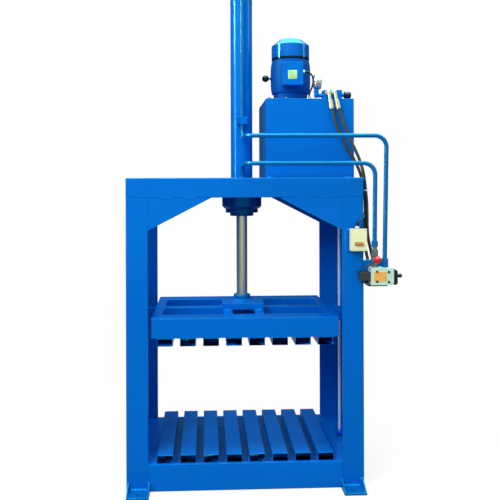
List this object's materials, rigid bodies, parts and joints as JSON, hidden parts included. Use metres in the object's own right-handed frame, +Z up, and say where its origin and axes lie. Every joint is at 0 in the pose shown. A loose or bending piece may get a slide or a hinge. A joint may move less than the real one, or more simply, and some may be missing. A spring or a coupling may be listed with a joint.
{
  "type": "vertical hydraulic baler",
  "caption": "Vertical hydraulic press baler: welded frame with slatted bed, rod-driven platen on guide rods, top cylinder, oil tank with motor, hoses, pipes and a hand lever valve.",
  "frame": {"origin": "on the floor, in the middle of the four anchor holes, under the cylinder's axis", "axes": "+Z up along the cylinder, +X to the right along the machine's width, towards the oil tank; the front faces -Y"},
  "size_m": [1.3836, 0.8365, 2.625],
  "materials": {
    "painted_blue": "gloss",
    "rod_chrome": "polished, lightly soiled with oil",
    "plain_steel": "machined",
    "zinc_fitting": "zinc plated",
    "dark_fitting": "phosphated",
    "valve_casting": "pale grey-green paint, satin",
    "black_plastic": "gloss",
    "red_plastic": "gloss",
    "cream_plastic": "satin",
    "brown_plastic": "satin",
    "hose_rubber": "matt",
    "cable_sheath": "matt",
    "gauge_metal": "satin",
    "pump_casting": "as cast",
    "fan_plastic": "matt"
  },
  "bodies": {
    "frame": {"left_side_channel": "painted_blue", "right_side_channel": "painted_blue", "top_beams": "painted_blue", "corner_gussets": "painted_blue", "base_beams": "painted_blue", "bed_deck": "painted_blue", "bed_slats": "painted_blue", "anchor_feet": "painted_blue", "cross_channels": "painted_blue", "cylinder_mount_plate": "painted_blue", "cylinder_barrel": "painted_blue", "cylinder_end_cap": "painted_blue", "cylinder_flange": "painted_blue", "cylinder_gland": "painted_blue", "oil_tank": "painted_blue", "tank_lid": "painted_blue", "motor_housing": "painted_blue", "fan_cowl": "painted_blue", "terminal_box": "painted_blue", "terminal_box_lid": "painted_blue", "valve_block": "painted_blue", "gauge_elbow": "painted_blue", "cap_pipe": "painted_blue", "rod_pipe": "painted_blue", "pipe_clamp": "painted_blue", "valve_bracket": "painted_blue", "switch_plate": "painted_blue", "guide_rods": "plain_steel", "flange_bolts": "zinc_fitting", "gear_pump": "pump_casting", "side_knob": "black_plastic", "gauge_case": "gauge_metal", "hose_fittings": "zinc_fitting", "pressure_hose": "hose_rubber", "return_hose": "hose_rubber", "motor_cable": "cable_sheath", "rod_port_adapter": "dark_fitting", "valve_strap": "dark_fitting", "valve_body": "valve_casting", "valve_end_cap": "black_plastic", "lever_housing": "dark_fitting", "switch_box": "cream_plastic"},
    "ram": {"piston_rod": "rod_chrome", "piston": "plain_steel", "rod_boss": "painted_blue", "platen_end_tubes": "painted_blue", "platen_end_caps": "painted_blue", "platen_side_tubes": "painted_blue", "platen_inner_tubes": "painted_blue", "platen_seat_plate": "painted_blue", "platen_slats": "painted_blue", "guide_lugs": "painted_blue"},
    "rotor": {"motor_shaft": "plain_steel", "motor_fan": "fan_plastic"},
    "valve_handle": {"valve_lever": "plain_steel", "lever_knob": "red_plastic"},
    "valve_slider": {"valve_spool": "plain_steel"},
    "relief_screw": {"relief_knob": "black_plastic"},
    "gauge_needle": {"gauge_pointer": "black_plastic"},
    "switch_bar": {"switch_toggle": "brown_plastic"}
  },
  "joints": [
    {"name": "ram_slide", "type": "slide", "parent": "frame", "child": "ram", "axis": [0, 0, 1], "range_m": [-0.47, 0.42]},
    {"name": "motor_spin", "type": "hinge", "parent": "frame", "child": "rotor", "pos_m": [0.273, 0, 2.2], "axis": [0, 0, 1], "continuous": true},
    {"name": "lever_swing", "type": "hinge", "parent": "frame", "child": "valve_handle", "pos_m": [0.595, -0.353, 1.09], "axis": [0, 1, 0], "range_deg": [-15, 15], "stiffness_Nm_per_rad": 4},
    {"name": "spool_slide", "type": "slide", "parent": "frame", "child": "valve_slider", "axis": [1, 0, 0], "range_m": [-0.004, 0.004]},
    {"name": "relief_turn", "type": "hinge", "parent": "frame", "child": "relief_screw", "pos_m": [0.551, -0.175, 2.007], "axis": [1, 0, 0], "range_deg": [-360, 360]},
    {"name": "needle_turn", "type": "hinge", "parent": "frame", "child": "gauge_needle", "pos_m": [0.4015, -0.175, 2.075], "axis": [1, 0, 0], "range_deg": [-270, 0], "stiffness_Nm_per_rad": 0.0005},
    {"name": "switch_rock", "type": "hinge", "parent": "frame", "child": "switch_bar", "pos_m": [0.56523, -0.36367, 1.2375], "axis": [1, 0, 0], "range_deg": [-18, 18]}
  ],
  "couplings": [
    {"joint": "spool_slide", "follows": "lever_swing", "m_per_rad": -0.014}
  ]
}
